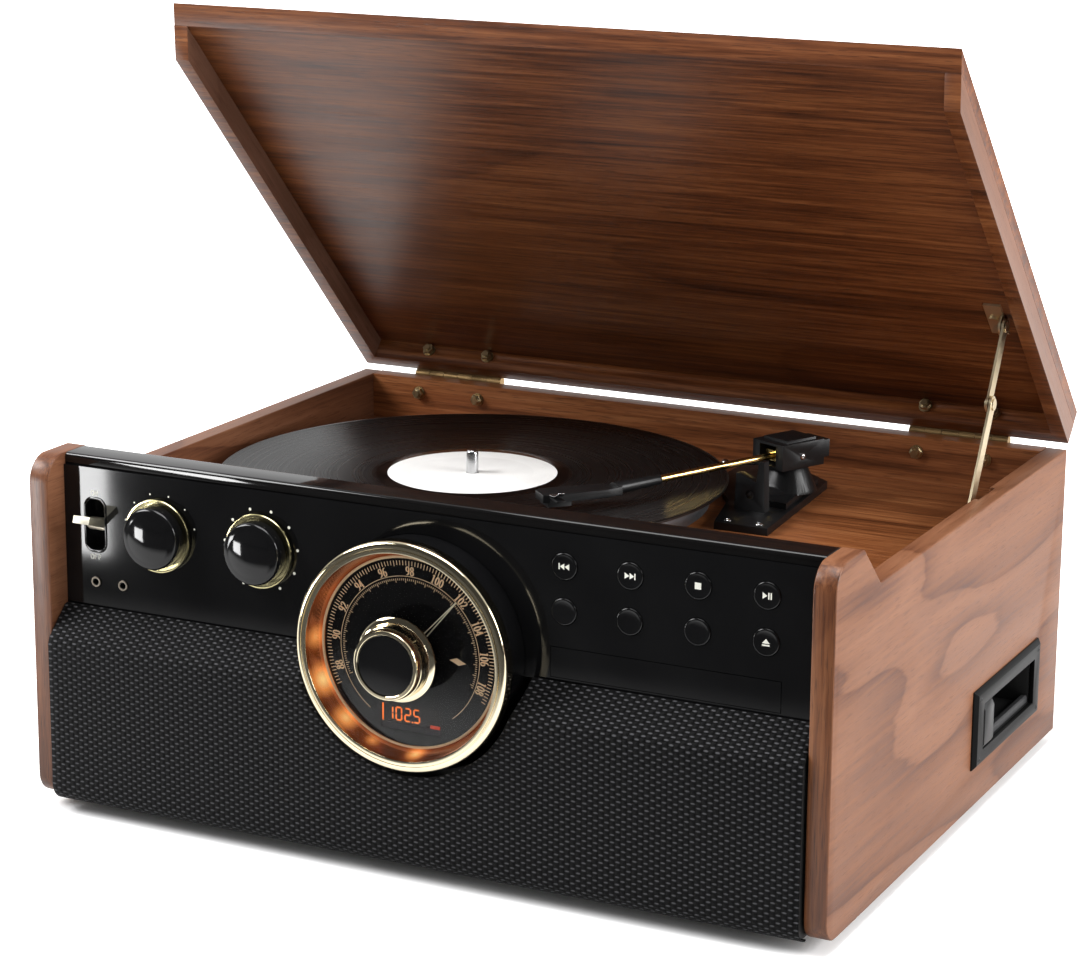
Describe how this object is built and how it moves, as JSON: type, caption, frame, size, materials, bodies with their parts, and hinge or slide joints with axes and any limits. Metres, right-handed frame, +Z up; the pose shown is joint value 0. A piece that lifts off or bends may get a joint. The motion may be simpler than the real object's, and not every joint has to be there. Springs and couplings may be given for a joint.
{
  "type": "stereo music centre",
  "caption": "Walnut-veneered music centre with record player under a hinged lid, radio dial, disc tray, cassette slot and front speaker grille.",
  "frame": {"origin": "bottom centre of the whole part, standing on its feet with the lid open", "axes": "+Z up, the front panel faces -Y, +X to the right seen from the front"},
  "size_m": [0.4834, 0.4246, 0.4436],
  "materials": {
    "walnut": "satin veneer",
    "inner_board": "plain",
    "gloss_black": "gloss",
    "black_plastic": "matte",
    "grille_cloth": "woven",
    "gold": "bright brass plate",
    "copper": "bright copper plate",
    "clear_glass": "clear",
    "antique_brass": "antique",
    "stay_steel": "brass plated",
    "steel": "plain",
    "cast_metal": "cast",
    "vinyl": "grooved",
    "rubber": "matte",
    "board_green": "circuit board",
    "display": "segment display",
    "cream_plastic": "satin"
  },
  "bodies": {
    "cabinet": {"side_panel_left": "walnut", "side_panel_right": "walnut", "back_panel": "walnut", "bottom_panel": "inner_board", "deck_panel": "walnut", "fascia_plate": "gloss_black", "fascia_top_cap": "gloss_black", "grille_frame": "black_plastic", "grille_cloth": "grille_cloth", "speaker_drivers": "black_plastic", "dial_drum": "gloss_black", "dial_bezel": "gold", "dial_light_ring": "copper", "dial_face": "gloss_black", "dial_glass": "clear_glass", "display_window": "display", "power_switch_plate": "black_plastic", "jack_sockets": "black_plastic", "cd_housing": "steel", "cassette_bezel": "black_plastic", "cassette_housing": "black_plastic", "circuit_boards": "board_green", "turntable_motor": "steel", "drive_belt": "rubber", "tonearm_base": "black_plastic", "hinge_cabinet_leaves": "antique_brass", "cabinet_fasteners": "antique_brass", "feet": "rubber", "rear_sockets": "black_plastic"},
    "lid": {"lid_panel": "walnut", "lid_rims": "walnut", "hinge_lid_leaves": "antique_brass", "lid_fasteners": "antique_brass", "stay_bracket": "stay_steel"},
    "stay_lower": {"stay_lower_arm": "stay_steel"},
    "stay_upper": {"stay_upper_arm": "stay_steel"},
    "platter": {"platter": "cast_metal", "slip_mat": "rubber", "vinyl_record": "vinyl", "center_spindle": "steel"},
    "pulley": {"motor_pulley": "antique_brass"},
    "tonearm_turret": {"tonearm_turret": "black_plastic"},
    "tonearm_arm": {"tonearm_tube": "gold", "headshell": "black_plastic"},
    "cue_lever": {"cue_lever": "cream_plastic"},
    "selector": {"selector_knob": "gloss_black"},
    "volume": {"volume_knob": "gloss_black"},
    "tuning": {"tuning_knob": "gold", "dial_pointer": "gold"},
    "power_lever": {"power_lever": "gold"},
    "cd_drawer": {"cd_tray": "black_plastic"},
    "cassette_stop": {"cassette_key": "black_plastic"},
    "skip_back_key": {"skip_back_button": "gloss_black"},
    "skip_forward_key": {"skip_forward_button": "gloss_black"},
    "stop_key": {"stop_button": "gloss_black"},
    "play_key": {"play_button": "gloss_black"},
    "program_key": {"program_button": "gloss_black"},
    "repeat_key": {"repeat_button": "gloss_black"},
    "pairing_key": {"pairing_button": "gloss_black"},
    "tray_key": {"tray_button": "gloss_black"}
  },
  "joints": [
    {"name": "lid_hinge", "type": "hinge", "parent": "cabinet", "child": "lid", "pos_m": [0, 0.19821, 0.1823], "axis": [1, 0, 0], "range_deg": [0, 45]},
    {"name": "stay_lower_pivot", "type": "hinge", "parent": "cabinet", "child": "stay_lower", "pos_m": [0.221, 0.06341, 0.162], "axis": [1, 0, 0], "range_deg": [-38.11, 0]},
    {"name": "stay_upper_pivot", "type": "hinge", "parent": "lid", "child": "stay_upper", "pos_m": [0.221, 0.12574, 0.26751], "axis": [1, 0, 0], "range_deg": [0, 73.83]},
    {"name": "platter_spin", "type": "hinge", "parent": "cabinet", "child": "platter", "pos_m": [-0.0635, 0.00961, 0.174], "axis": [0, 0, 1], "continuous": true},
    {"name": "motor_spin", "type": "hinge", "parent": "cabinet", "child": "pulley", "pos_m": [-0.15524, -0.05463, 0.166], "axis": [0, 0, 1], "continuous": true},
    {"name": "tonearm_swing", "type": "hinge", "parent": "cabinet", "child": "tonearm_turret", "pos_m": [0.097, 0.10541, 0.1836], "axis": [0, 0, 1], "range_deg": [-12, 20.7]},
    {"name": "tonearm_lift", "type": "hinge", "parent": "tonearm_turret", "child": "tonearm_arm", "pos_m": [0.097, 0.10541, 0.1836], "axis": [0.9011, -0.4337, 0], "range_deg": [-8, 0]},
    {"name": "cue_lever_turn", "type": "hinge", "parent": "cabinet", "child": "cue_lever", "pos_m": [0.072, 0.13541, 0.1676], "axis": [-0.8192, 0.5736, 0], "range_deg": [0, 40]},
    {"name": "selector_turn", "type": "hinge", "parent": "cabinet", "child": "selector", "pos_m": [-0.1642, -0.17659, 0.1666], "axis": [0, -1, 0], "range_deg": [-30, 120]},
    {"name": "volume_turn", "type": "hinge", "parent": "cabinet", "child": "volume", "pos_m": [-0.0989, -0.17659, 0.1666], "axis": [0, -1, 0], "range_deg": [-105, 195]},
    {"name": "tuning_turn", "type": "hinge", "parent": "cabinet", "child": "tuning", "pos_m": [0.001, -0.20459, 0.1273], "axis": [0, -1, 0], "range_deg": [-66.3, 149]},
    {"name": "power_toggle", "type": "hinge", "parent": "cabinet", "child": "power_lever", "pos_m": [-0.207, -0.16709, 0.167], "axis": [1, 0, 0], "range_deg": [0, 38.8]},
    {"name": "skip_back_press", "type": "slide", "parent": "cabinet", "child": "skip_back_key", "axis": [0, 1, 0], "range_m": [0, 0.0012], "stiffness_N_per_m": 500},
    {"name": "skip_forward_press", "type": "slide", "parent": "cabinet", "child": "skip_forward_key", "axis": [0, 1, 0], "range_m": [0, 0.0012], "stiffness_N_per_m": 500},
    {"name": "stop_press", "type": "slide", "parent": "cabinet", "child": "stop_key", "axis": [0, 1, 0], "range_m": [0, 0.0012], "stiffness_N_per_m": 500},
    {"name": "play_press", "type": "slide", "parent": "cabinet", "child": "play_key", "axis": [0, 1, 0], "range_m": [0, 0.0012], "stiffness_N_per_m": 500},
    {"name": "program_press", "type": "slide", "parent": "cabinet", "child": "program_key", "axis": [0, 1, 0], "range_m": [0, 0.0012], "stiffness_N_per_m": 500},
    {"name": "repeat_press", "type": "slide", "parent": "cabinet", "child": "repeat_key", "axis": [0, 1, 0], "range_m": [0, 0.0012], "stiffness_N_per_m": 500},
    {"name": "pairing_press", "type": "slide", "parent": "cabinet", "child": "pairing_key", "axis": [0, 1, 0], "range_m": [0, 0.0012], "stiffness_N_per_m": 500},
    {"name": "tray_press", "type": "slide", "parent": "cabinet", "child": "tray_key", "axis": [0, 1, 0], "range_m": [0, 0.0012], "stiffness_N_per_m": 500},
    {"name": "cd_tray_slide", "type": "slide", "parent": "cabinet", "child": "cd_drawer", "axis": [0, -1, 0], "range_m": [0, 0.13]},
    {"name": "cassette_key_press", "type": "slide", "parent": "cabinet", "child": "cassette_stop", "axis": [-1, 0, 0], "range_m": [0, 0.0035], "stiffness_N_per_m": 500}
  ],
  "couplings": [
    {"joint": "stay_lower_pivot", "follows": "lid_hinge", "ratio": -0.8425},
    {"joint": "stay_upper_pivot", "follows": "lid_hinge", "ratio": 1.6362},
    {"joint": "motor_spin", "follows": "platter_spin", "ratio": 15.127}
  ]
}
